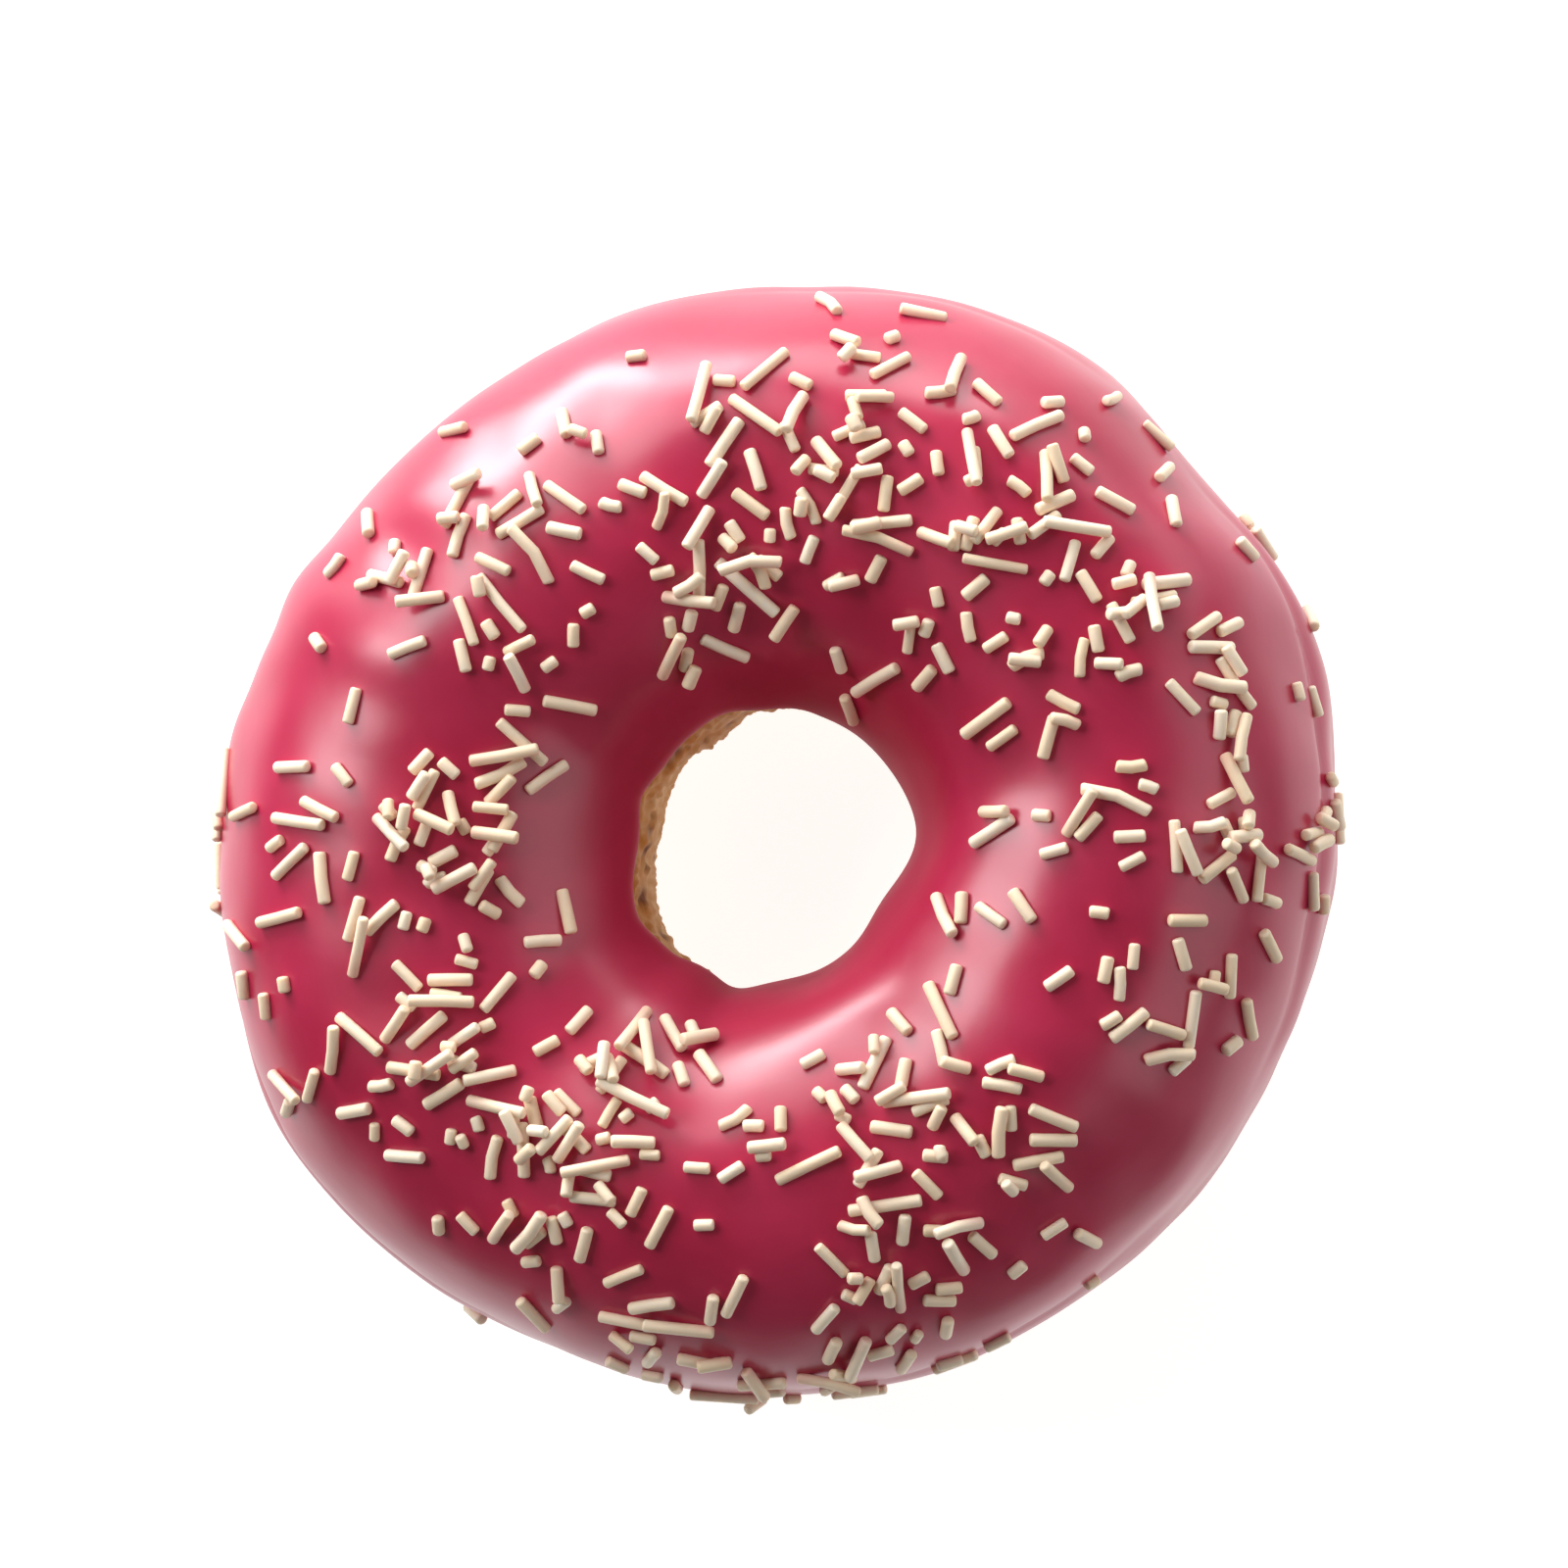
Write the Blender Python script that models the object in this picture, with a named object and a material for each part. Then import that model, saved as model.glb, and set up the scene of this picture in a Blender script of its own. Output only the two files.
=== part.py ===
# A ring doughnut dipped in pink icing and strewn with sugar strands.
# +Z is up, the ring rests on z = 0, and its axis is the Z axis. Lengths are in metres.
# Angles round the ring count from +X. Angles round the section count from the outer side, over the top.

import collections
import math

import bmesh
import bpy
import numpy as np

# The baked ring
RING_RADIUS = 0.0430        # from the axis to the widest line of the dough
HOLE_RADIUS = 0.0117        # from the axis to the narrowest line of the hole
RING_HEIGHT = 0.0315
WAIST_HEIGHT = 0.0150       # level of the widest line
UPPER_ROUNDNESS = 2.15      # 2 is an ellipse, more is squarer
LOWER_ROUNDNESS = 2.5
BASE_OVERRUN = 1.06         # how far the underside would bulge past the flat it rests on

# How the ring is out of round: waves round it, depth, and the direction of a crest in degrees
RING_WAVES = ((1, 0.00035, 112), (2, 0.00105, 36), (3, 0.00025, -51), (4, 0.00018, 17), (7, 0.00016, 12))
HOLE_WAVES = ((1, 0.00106, -20), (2, 0.00070, 58), (3, 0.00022, 13))
CREST_WAVES = ((2, 0.00045, 115), (3, 0.00035, 20), (5, 0.00025, 50))
# Dents and swellings of the two outlines: direction and half width in degrees, depth
RING_DENTS = ((151, 6, 0.00075), (60, 9, 0.00035), (40, 8, -0.00060), (209, 8, 0.00050))
HOLE_DENTS = (
    (331, 13, -0.00050), (4, 14, 0.00045), (258, 10, 0.00055), (295, 20, 0.00030), (121, 13, -0.00055),
    (242, 8, -0.00050), (213, 12, 0.00060), (90, 12, -0.00050), (160, 10, 0.00040),
)

# The icing
ICING_GAP = 0.00035         # clearance between the dough and the inside of the icing
ICING_THICKNESS = 0.0012
OUTER_BEAD = 0.0005         # extra thickness where the icing ran down and set
HOLE_BEAD = 0.00025
BEAD_WIDTH_DEG = 17
OUTER_EDGE_DEG = -14        # below the widest line
OUTER_EDGE_WAVES = ((2, 3.0, 80), (5, 2.6, 10), (9, 2.2, 25), (14, 1.3, 5))
HOLE_EDGE_DEG = 175         # 180 is the narrowest line of the hole
HOLE_EDGE_WAVES = ((1, 19.0, -20), (2, 3.4, -14), (3, 2.7, 34), (9, 0.9, 20))
# The round of both edges: steps in from the edge, and the share of the thickness at each
LIP_STEPS_DEG = (0.0, 1.4, 4.2, 9.0)
LIP_THICKNESSES = (0.35, 0.72, 0.96, 1.0)

# The sugar strands
STRAND_RADIUS = 0.00049
STRAND_LENGTHS = (0.0011, 0.0066)
LENGTH_SPREAD = (1.2, 2.6)   # of a beta draw between the two lengths, with more short ones than long
STRAND_SINK = 0.00020       # how far a strand sits in the icing
STRAND_PRESS = 0.00005      # how far a strand sits in one that it lies on
STRAND_SEED = 935
BUNDLE_SHARE = 0.22         # strands that lie along their neighbour
BUNDLE_TURN = 0.16          # how far, in radians, such a strand may lie off its neighbour's direction
BUNDLE_REACH = 0.0016       # how near a neighbour has to be
MOST_PILE = 0.0023          # highest a strand's middle may lie over the icing
MOST_SLOPE = 0.5            # a steeper strand rolls round before it lies
ROLLS = 3                   # places and headings that a strand tries, and stays where it lies lowest
SLIDE_DEG = (2.2, 4.4)      # how far it slides between them, round the ring and over its section
REST_POINTS = 7             # places along a strand where it may touch what it lies on
REST_SPAN = 0.92            # share of its length that they cover

# Where strands fell together: direction in degrees, distance from the axis and spread in mm, count
DRIFTS = (
    (62, 33, 4.4, 28), (77, 38, 3.0, 6), (78, 29, 3.0, 10), (74, 34, 2.6, 6), (92, 33, 3.0, 8),
    (107, 34, 3.0, 4), (122, 32, 3.0, 12), (137, 34, 3.8, 10), (94, 22, 3.2, 11), (109, 17, 1.8, 6),
    (107, 27, 3.0, 5), (140, 26, 4.0, 10), (152, 39, 2.8, 3), (157, 22, 3.2, 7), (179, 25, 3.4, 24),
    (176, 37, 3.6, 9), (196, 20, 3.0, 9), (192, 41, 2.6, 3), (212, 29, 3.4, 19), (208, 40, 3.4, 7),
    (238, 27, 4.2, 28), (248, 20, 2.6, 11), (236, 39, 3.2, 3), (260, 37, 4.0, 9), (253, 30, 2.4, 4),
    (272, 25, 2.4, 6), (289, 24, 2.8, 7), (305, 23, 2.8, 12), (296, 31, 3.4, 10), (287, 38, 3.6, 13),
    (303, 39, 3.4, 4), (313, 31, 2.8, 8), (338, 35, 4.0, 17), (351, 37, 3.0, 8), (3, 38, 3.2, 16),
    (18, 41, 3.4, 14), (31, 35, 3.6, 12), (46, 39, 4.0, 10), (27, 26, 3.6, 9), (50, 29, 3.0, 7),
    (47, 17, 2.2, 3), (3, 28, 2.8, 4), (354, 21, 2.4, 4), (54, 24, 2.6, 3), (246, 43, 2.6, 6),
    (259, 43, 2.8, 9), (273, 43, 2.8, 9), (283, 42, 2.6, 5),
)
SPREAD_SIGMA = 0.95         # a drift's standard deviation, as a share of its spread
TOP_BAND = (-0.93, 0.95)    # the drifts' reach across the section, in half widths from its middle
LOOSE_STRANDS = 80          # scattered over the whole top
LOOSE_REACH = (0.017, 0.040)
# Down the side, as far as the icing goes: direction and spread in degrees, count
SIDE_DRIFTS = ((0, 10, 9), (30, 5, 4), (182, 9, 6), (262, 30, 13))
SIDE_BAND_DEG = (-8, 26)
EDGE_MARGINS_DEG = (5.7, 12.6)  # bare icing at the outer edge and at the hole

# Faces
SEGMENTS_ROUND = 64
DOUGH_ROWS = 18
ICING_ROWS = 9              # between the two lips
STRAND_SIDES = 6
STRAND_SWELL = 1.04         # a six-sided strand is this much wider over its corners than the round one
SOLID_STRANDS = 228         # as many as are solids here
NORMAL_STEP = 0.01          # radians, for the slopes of the dough

Strand = collections.namedtuple("Strand", "middle direction length level grounded")


def waved(theta, waves):
    """The sum of cosine waves round the ring."""
    return sum(depth * np.cos(count * (theta - math.radians(crest))) for count, depth, crest in waves)


def dented(theta, dents):
    """The sum of smooth dents and swellings, each at its own direction."""
    total = np.zeros_like(theta)
    for direction, half_width, depth in dents:
        away = np.angle(np.exp(1j * (theta - math.radians(direction))))
        total = total + depth * np.exp(-((away / math.radians(half_width)) ** 2))
    return total


def ring_outline(theta):
    """Middle radius and half width of the ring's section at each direction."""
    outer = RING_RADIUS + waved(theta, RING_WAVES) + dented(theta, RING_DENTS)
    hole = HOLE_RADIUS + waved(theta, HOLE_WAVES) + dented(theta, HOLE_DENTS)
    return (outer + hole) / 2, (outer - hole) / 2


def power(value, exponent):
    """A signed power, which squares up a circle."""
    return np.sign(value) * np.abs(value) ** exponent


def dough_surface(theta, phi):
    """Points of the dough: a squared-up oval section carried round the ring, cut flat where it rests."""
    middle, half_width = ring_outline(theta)
    upper = np.sin(phi) >= 0
    across = power(np.cos(phi), 2 / np.where(upper, UPPER_ROUNDNESS, LOWER_ROUNDNESS))
    rise = power(np.sin(phi), 2 / np.where(upper, UPPER_ROUNDNESS, LOWER_ROUNDNESS))
    crest = RING_HEIGHT - WAIST_HEIGHT + waved(theta, CREST_WAVES)
    height = WAIST_HEIGHT + rise * np.where(upper, crest, WAIST_HEIGHT * BASE_OVERRUN)
    radius = middle + across * half_width
    return np.stack([radius * np.cos(theta), radius * np.sin(theta), np.maximum(height, 0)], axis=-1)


def outward(theta, phi):
    """Unit normals of the dough, from the cross product of its two slopes."""
    along = dough_surface(theta + NORMAL_STEP, phi) - dough_surface(theta - NORMAL_STEP, phi)
    over = dough_surface(theta, phi + NORMAL_STEP) - dough_surface(theta, phi - NORMAL_STEP)
    normal = np.cross(along, over)
    return normal / np.linalg.norm(normal, axis=-1, keepdims=True)


def icing_edges(theta):
    """Section angles of the icing's two edges, on the outside and in the hole."""
    outer = np.radians(OUTER_EDGE_DEG + waved(theta, OUTER_EDGE_WAVES))
    hole = np.radians(HOLE_EDGE_DEG + waved(theta, HOLE_EDGE_WAVES))
    return outer, hole


def icing_surface(theta, phi, share=1.0):
    """Points that lie a share of the icing's thickness, with its beads, over the inside of the icing."""
    outer, hole = icing_edges(theta)
    width = math.radians(BEAD_WIDTH_DEG)
    beads = OUTER_BEAD * np.exp(-(((phi - outer) / width) ** 2))
    beads = beads + HOLE_BEAD * np.exp(-(((hole - phi) / width) ** 2))
    lift = ICING_GAP + (ICING_THICKNESS + beads) * share
    return dough_surface(theta, phi) + outward(theta, phi) * lift[..., None]


def ring_mesh(name, rings):
    """A closed mesh from rows of points: rings[i, j] is point j of the section at segment i."""
    segments, rows = rings.shape[:2]
    i, j = np.meshgrid(np.arange(segments), np.arange(rows), indexing="ij")
    k, m = (i + 1) % segments, (j + 1) % rows
    quads = np.stack([i * rows + j, k * rows + j, k * rows + m, i * rows + m], axis=-1)
    mesh = bpy.data.meshes.new(name)
    mesh.from_pydata(rings.reshape(-1, 3).tolist(), [], quads.reshape(-1, 4).tolist())
    work = bmesh.new()
    work.from_mesh(mesh)
    bmesh.ops.recalc_face_normals(work, faces=work.faces)
    bmesh.ops.triangulate(work, faces=work.faces)
    work.to_mesh(mesh)
    work.free()
    return mesh


def material(name, colour, roughness):
    """A plain food surface."""
    made = bpy.data.materials.new(name)
    made.use_nodes = True
    shader = made.node_tree.nodes["Principled BSDF"]
    shader.inputs["Base Color"].default_value = (*colour, 1)
    shader.inputs["Roughness"].default_value = roughness
    shader.inputs["Metallic"].default_value = 0
    return made


def add_object(name, mesh, finish, collection):
    """Puts a mesh into a collection under its name."""
    made = bpy.data.objects.new(name, mesh)
    mesh.materials.append(finish)
    collection.objects.link(made)
    return made


def make_dough(collection):
    """The baked ring, flat underneath."""
    theta = np.arange(SEGMENTS_ROUND) * 2 * math.pi / SEGMENTS_ROUND
    phi = (np.arange(DOUGH_ROWS) + 0.5) * 2 * math.pi / DOUGH_ROWS
    mesh = ring_mesh("dough_ring", dough_surface(*np.meshgrid(theta, phi, indexing="ij")))
    mesh.shade_smooth()
    return add_object("dough_ring", mesh, material("fried_dough", (0.55, 0.30, 0.12), 0.7), collection)


def make_icing(collection):
    """The icing: a skin over the top of the ring with a rounded lip at both edges."""
    theta = (np.arange(SEGMENTS_ROUND) * 2 * math.pi / SEGMENTS_ROUND)[:, None]
    outer, hole = icing_edges(theta)
    lips = np.radians(LIP_STEPS_DEG)[None, :]
    start, end = outer + lips[:, -1:], hole - lips[:, -1:]
    rows = start + (end - start) * np.linspace(0, 1, ICING_ROWS + 2)[None, 1:-1]
    face = np.concatenate([outer + lips, rows, hole - lips[:, ::-1]], axis=1)
    back = np.concatenate([outer + lips[:, 1:2], start, rows, end, hole - lips[:, 1:2]], axis=1)
    share = np.concatenate([LIP_THICKNESSES, np.ones(ICING_ROWS), LIP_THICKNESSES[::-1]])[None, :]
    rings = [
        icing_surface(np.broadcast_to(theta, face.shape), face, share),
        icing_surface(np.broadcast_to(theta, back.shape), back, 0.0)[:, ::-1],
    ]
    mesh = ring_mesh("icing", np.concatenate(rings, axis=1))
    return add_object("icing", mesh, material("pink_icing", (0.52, 0.05, 0.13), 0.3), collection)


def strand_spots(draw):
    """Where strands are dropped: directions and section angles, drift by drift, then the loose ones
    and those on the side. Any that land past the top's edge slide off."""
    around, reach = [], []
    for direction, distance, spread, count in DRIFTS:
        sigma = SPREAD_SIGMA * spread
        reach.append((distance + draw.normal(0, sigma, count)) / 1000)
        around.append(math.radians(direction) + draw.normal(0, sigma / distance, count))
    around.append(draw.uniform(0, 2 * math.pi, LOOSE_STRANDS))
    reach.append(draw.uniform(*LOOSE_REACH, LOOSE_STRANDS))
    around = np.concatenate(around)
    middle, half_width = ring_outline(around)
    across = (np.concatenate(reach) - middle) / (half_width + ICING_THICKNESS)
    stays = (across > TOP_BAND[0]) & (across < TOP_BAND[1])
    around, over = [around[stays]], [np.arccos(power(across[stays], UPPER_ROUNDNESS / 2))]
    for direction, spread, count in SIDE_DRIFTS:
        around.append(np.radians(draw.normal(direction, spread, count)))
        over.append(np.radians(draw.uniform(*SIDE_BAND_DEG, count)))
    return np.concatenate(around), np.concatenate(over)


def drop_strands():
    """Drops the strands one by one, each on the icing or on the strands that are there already. Each
    slides and rolls a few times, and stays where it lies lowest."""
    draw = np.random.RandomState(STRAND_SEED)
    margins = np.radians(EDGE_MARGINS_DEG)
    strands = []
    for spot in zip(*strand_spots(draw)):
        length = STRAND_LENGTHS[0] + (STRAND_LENGTHS[1] - STRAND_LENGTHS[0]) * draw.beta(*LENGTH_SPREAD)
        headings = draw.uniform(0, math.pi, ROLLS)
        slides = draw.normal(0, np.radians(SLIDE_DEG), (ROLLS, 2))
        slides[0] = 0
        turn = draw.normal(0, BUNDLE_TURN) if draw.uniform() < BUNDLE_SHARE else None
        found = []
        for (theta, phi), heading in zip(np.array(spot) + slides, headings):
            outer, hole = icing_edges(np.array(theta))
            if outer + margins[0] < phi < hole - margins[1]:
                found.append(lay_strand(theta, phi, length, heading, turn, strands))
            turn = None
        found = [strand for strand in found if strand]
        if found:
            strands.append(min(found, key=lambda strand: strand.level))
    return strands


def lay_strand(theta, phi, length, heading, turn, strands):
    """Rests a straight strand on the icing and on the other strands, or gives None where it would
    roll. Its heading is counted from the way round the ring. With a turn, it lies along a neighbour."""
    place = icing_surface(np.array(theta), np.array(phi))
    normal = outward(np.array(theta), np.array(phi))
    east = np.array([-math.sin(theta), math.cos(theta), 0.0])
    north = np.cross(normal, east)
    if turn is not None and strands:
        near = min(strands, key=lambda other: np.linalg.norm(other.middle - place))
        if np.linalg.norm(near.middle - place) < BUNDLE_REACH:
            heading = math.atan2(near.direction @ north, near.direction @ east) + turn
    along = math.cos(heading) * east + math.sin(heading) * north
    offsets = np.linspace(-REST_SPAN / 2, REST_SPAN / 2, REST_POINTS) * length
    touched = icing_surface(
        theta + offsets * math.cos(heading) / math.hypot(place[0], place[1]),
        phi + offsets * math.sin(heading) / ring_outline(np.array(theta))[1],
    )
    ground = (touched - place) @ normal + STRAND_RADIUS - STRAND_SINK
    heights = ground
    for other in strands:
        if np.linalg.norm(other.middle - place) < (length + other.length) / 2 + 2 * STRAND_RADIUS:
            heights = np.maximum(heights, height_over(other, place + offsets[:, None] * along, normal))
    level, slope = resting_line(offsets, heights)
    if level > MOST_PILE or abs(slope) > MOST_SLOPE:
        return None
    direction = (along + slope * normal) / math.hypot(1, slope)
    return Strand(place + normal * level, direction, length, level, bool((heights == ground).all()))


def height_over(other, points, normal):
    """How far along the normal a strand's middle line has to be over each point to clear another one."""
    flat = other.direction - (other.direction @ normal) * normal
    run = (points - other.middle) @ flat / (flat @ flat)
    run = np.clip(run, -other.length / 2, other.length / 2)
    gap = other.middle + run[:, None] * other.direction - points
    rise = gap @ normal
    aside = np.linalg.norm(gap - rise[:, None] * normal, axis=1)
    touch = 2 * STRAND_RADIUS - STRAND_PRESS
    return np.where(aside < touch, rise + np.sqrt(np.maximum(touch**2 - aside**2, 0)), -1.0)


def resting_line(offsets, heights):
    """Height at the middle and slope of a straight strand that rests on a profile: the edge of the
    profile's upper hull that passes over the middle."""
    best = (-1.0, 0.0)
    for i in np.flatnonzero(offsets <= 0):
        for j in np.flatnonzero(offsets >= 0):
            if i < j:
                slope = (heights[j] - heights[i]) / (offsets[j] - offsets[i])
                best = max(best, (heights[i] - slope * offsets[i], slope))
    return best


def strand_mesh(name, strand):
    """One strand: a straight rod of a few sides with flat ends."""
    thinnest = np.eye(3)[np.abs(strand.direction).argmin()]
    side = np.cross(strand.direction, thinnest)
    side /= np.linalg.norm(side)
    up = np.cross(side, strand.direction)
    turn = np.arange(STRAND_SIDES) * 2 * math.pi / STRAND_SIDES
    rim = STRAND_RADIUS * STRAND_SWELL * (np.cos(turn)[:, None] * side + np.sin(turn)[:, None] * up)
    reach = strand.direction * strand.length / 2
    points = np.concatenate([strand.middle - reach + rim, strand.middle + reach + rim])
    start = np.arange(STRAND_SIDES)
    after = (start + 1) % STRAND_SIDES
    sides = np.stack([start, after, after + STRAND_SIDES, start + STRAND_SIDES], axis=-1)
    caps = [start[::-1].tolist(), (start + STRAND_SIDES).tolist()]
    mesh = bpy.data.meshes.new(name)
    mesh.from_pydata(points.tolist(), [], sides.tolist() + caps)
    work = bmesh.new()
    work.from_mesh(mesh)
    bmesh.ops.recalc_face_normals(work, faces=work.faces)
    work.to_mesh(mesh)
    work.free()
    return mesh


def keep_largest_body(mesh):
    """Keeps the body with the most faces, which drops strands that touch nothing."""
    work = bmesh.new()
    work.from_mesh(mesh)
    left = set(work.faces)
    bodies = []
    while left:
        body = {left.pop()}
        front = set(body)
        while front:
            front = {face for old in front for edge in old.edges for face in edge.link_faces} & left
            left -= front
            body |= front
        bodies.append(body)
    bodies.sort(key=len)
    bmesh.ops.delete(work, geom=[face for body in bodies[:-1] for face in body], context="FACES")
    work.to_mesh(mesh)
    work.free()


def fuse_strands(icing, collection):
    """Joins the strands to the icing, and removes the separate rods. Those that lie on the icing come
    first, then those that lie on others, each the longest first."""
    strands = sorted(drop_strands(), key=lambda strand: (not strand.grounded, -strand.length))
    strewn = bpy.data.collections.new("strands")
    collection.children.link(strewn)
    sugar = material("sugar_strand", (0.86, 0.80, 0.62), 0.5)
    for number, strand in enumerate(strands[:SOLID_STRANDS]):
        name = f"strand_{number:03}"
        add_object(name, strand_mesh(name, strand), sugar, strewn)
    union = icing.modifiers.new("strands", "BOOLEAN")
    union.operation = "UNION"
    union.operand_type = "COLLECTION"
    union.collection = strewn
    joined = bpy.data.meshes.new_from_object(icing.evaluated_get(bpy.context.evaluated_depsgraph_get()))
    icing.modifiers.clear()
    keep_largest_body(joined)
    joined.shade_smooth()
    icing.data = joined
    for rod in list(strewn.objects):
        bpy.data.objects.remove(rod, do_unlink=True)
    bpy.data.collections.remove(strewn)


def main():
    for old in list(bpy.data.objects):
        bpy.data.objects.remove(old, do_unlink=True)
    collection = bpy.context.scene.collection
    make_dough(collection)
    fuse_strands(make_icing(collection), collection)


main()
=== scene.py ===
# A ring doughnut in pink icing with sugar strands: its fine surfaces, finishes, light and camera.
# Lengths are in millimetres until a mesh is made. theta counts round the ring from +X.
# phi counts round the ring's section from its outer side, over the top, to the hole at 180.

import math

import bmesh
import bpy
import numpy as np
from mathutils import Matrix, Vector


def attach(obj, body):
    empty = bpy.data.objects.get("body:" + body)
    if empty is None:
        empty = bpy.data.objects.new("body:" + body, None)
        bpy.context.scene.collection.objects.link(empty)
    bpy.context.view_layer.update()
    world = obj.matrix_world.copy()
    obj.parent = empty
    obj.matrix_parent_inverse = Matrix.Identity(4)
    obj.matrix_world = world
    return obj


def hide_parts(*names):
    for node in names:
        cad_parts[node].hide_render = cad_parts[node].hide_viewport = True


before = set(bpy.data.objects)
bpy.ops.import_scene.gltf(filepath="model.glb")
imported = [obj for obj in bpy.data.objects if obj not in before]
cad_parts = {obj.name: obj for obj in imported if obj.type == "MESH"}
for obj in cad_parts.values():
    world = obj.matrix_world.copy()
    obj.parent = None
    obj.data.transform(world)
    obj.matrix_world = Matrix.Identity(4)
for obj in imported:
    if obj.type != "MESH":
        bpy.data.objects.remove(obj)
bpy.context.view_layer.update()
print("frame loaded:", ", ".join(sorted(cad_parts)))

# The ring's form, the same as that of the solids
ring = {
    "radius": 43.0,             # from the axis to the widest line of the dough
    "hole": 11.7,               # from the axis to the narrowest line of the hole
    "height": 31.5,
    "waist": 15.0,              # level of the widest line
    "upperRoundness": 2.15,     # 2 is an ellipse, more is squarer
    "lowerRoundness": 2.5,
    "overrun": 1.06,            # how far the underside would bulge past the flat it rests on
    # waves round the ring: count, depth, direction of a crest
    "waves": ((1, 0.35, 112), (2, 1.05, 36), (3, 0.25, -51), (4, 0.18, 17), (7, 0.16, 12)),
    "holeWaves": ((1, 1.06, -20), (2, 0.70, 58), (3, 0.22, 13)),
    "crestWaves": ((2, 0.45, 115), (3, 0.35, 20), (5, 0.25, 50)),
    # dents and swellings: direction, half width, depth
    "dents": ((151, 6, 0.75), (60, 9, 0.35), (40, 8, -0.60), (209, 8, 0.50)),
    "holeDents": (
        (331, 13, -0.50), (4, 14, 0.45), (258, 10, 0.55), (295, 20, 0.30), (121, 13, -0.55),
        (242, 8, -0.50), (213, 12, 0.60), (90, 12, -0.50), (160, 10, 0.40),
    ),
}


def waved(theta, waves):
    # sum of depth * cos(count * (theta - crest))
    return sum(depth * np.cos(count * (theta - math.radians(crest))) for count, depth, crest in waves)


def awayFrom(theta, direction, halfWidth):
    # angle from a direction, in half widths, both of them given in degrees
    return np.angle(np.exp(1j * (theta - math.radians(direction)))) / math.radians(halfWidth)


def dented(theta, dents, sharpness=2):
    # sum of depth * exp(-(half widths away)^sharpness)
    total = np.zeros_like(theta)
    for direction, halfWidth, depth in dents:
        total = total + depth * np.exp(-(awayFrom(theta, direction, halfWidth) ** sharpness))
    return total


def ringOutline(theta):
    # middle radius and half width of the section, from the outer radius and the hole's
    outer = ring["radius"] + waved(theta, ring["waves"]) + dented(theta, ring["dents"])
    hole = ring["hole"] + waved(theta, ring["holeWaves"]) + dented(theta, ring["holeDents"])
    return (outer + hole) / 2, (outer - hole) / 2


def power(value, exponent):
    # sign(value) * |value|^exponent, which squares up a circle
    return np.sign(value) * np.abs(value) ** exponent


def doughSurface(theta, phi):
    # radius = middle + half width * cos(phi)^(2/n), height = waist + rise * sin(phi)^(2/n), not below 0
    middle, halfWidth = ringOutline(theta)
    upper = np.sin(phi) >= 0
    exponent = 2 / np.where(upper, ring["upperRoundness"], ring["lowerRoundness"])
    crest = ring["height"] - ring["waist"] + waved(theta, ring["crestWaves"])
    rise = np.where(upper, crest, ring["waist"] * ring["overrun"])
    height = ring["waist"] + power(np.sin(phi), exponent) * rise
    radius = middle + power(np.cos(phi), exponent) * halfWidth
    return np.stack([radius * np.cos(theta), radius * np.sin(theta), np.maximum(height, 0)], axis=-1)


def outward(theta, phi, step=0.01):
    # unit cross product of the surface's slopes along theta and along phi
    along = doughSurface(theta + step, phi) - doughSurface(theta - step, phi)
    over = doughSurface(theta, phi + step) - doughSurface(theta, phi - step)
    normal = np.cross(along, over)
    return normal / np.linalg.norm(normal, axis=-1, keepdims=True)


def lumps(points, size, seed, waves=28, spread=(0.7, 1.4)):
    # even random relief of unit deviation: sqrt(2/waves) * sum of cos(k.p + phase), |k| near 2 pi / size
    draw = np.random.RandomState(seed)
    heading = draw.normal(size=(3, waves))
    heading *= 2 * math.pi / size * draw.uniform(*spread, waves) / np.linalg.norm(heading, axis=0)
    return math.sqrt(2 / waves) * np.cos(points @ heading + draw.uniform(0, 2 * math.pi, waves)).sum(-1)


def smooth(value, low, high):
    # 3t^2 - 2t^3 between the two limits
    t = np.clip((value - low) / (high - low), 0, 1)
    return t * t * (3 - 2 * t)


def zone(value, limits):
    # up from 0 to 1 between the first two limits and down again between the last two
    return smooth(value, *limits[:2]) * (1 - smooth(value, *limits[2:]))


def meshPiece(name, points, faces, finish, attributes=()):
    # an object from points in mm and faces of 3 or 4 corners, turned to face out by its signed volume
    mesh = bpy.data.meshes.new(name)
    corners = points[faces[:, :3]]
    if np.einsum("ij,ij->i", corners[:, 0], np.cross(corners[:, 1], corners[:, 2])).sum() < 0:
        faces = faces[:, ::-1]
    mesh.from_pydata((points / 1000).tolist(), [], faces.tolist())
    for attribute, values in attributes:
        mesh.attributes.new(attribute, "FLOAT", "POINT").data.foreach_set("value", values.ravel())
    mesh.materials.append(finish)
    mesh.shade_smooth()
    mesh.update()
    piece = bpy.data.objects.new(name, mesh)
    bpy.context.scene.collection.objects.link(piece)
    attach(piece, "root")
    print(name, "has", len(mesh.polygons), "faces")
    return piece


def ringFaces(segments, rows):
    # quads of a grid that closes both ways: point (i, j) is number i * rows + j
    i, j = np.meshgrid(np.arange(segments), np.arange(rows), indexing="ij")
    k, m = (i + 1) % segments, (j + 1) % rows
    return np.stack([i * rows + j, k * rows + j, k * rows + m, i * rows + m], axis=-1).reshape(-1, 4)


def linear(colour):
    # sRGB hex to linear: c / 12.92 up to 0.04045, ((c + 0.055) / 1.055)^2.4 above
    parts = [int(colour[i:i + 2], 16) / 255 for i in (1, 3, 5)]
    return tuple(c / 12.92 if c <= 0.04045 else ((c + 0.055) / 1.055) ** 2.4 for c in parts)


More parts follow.
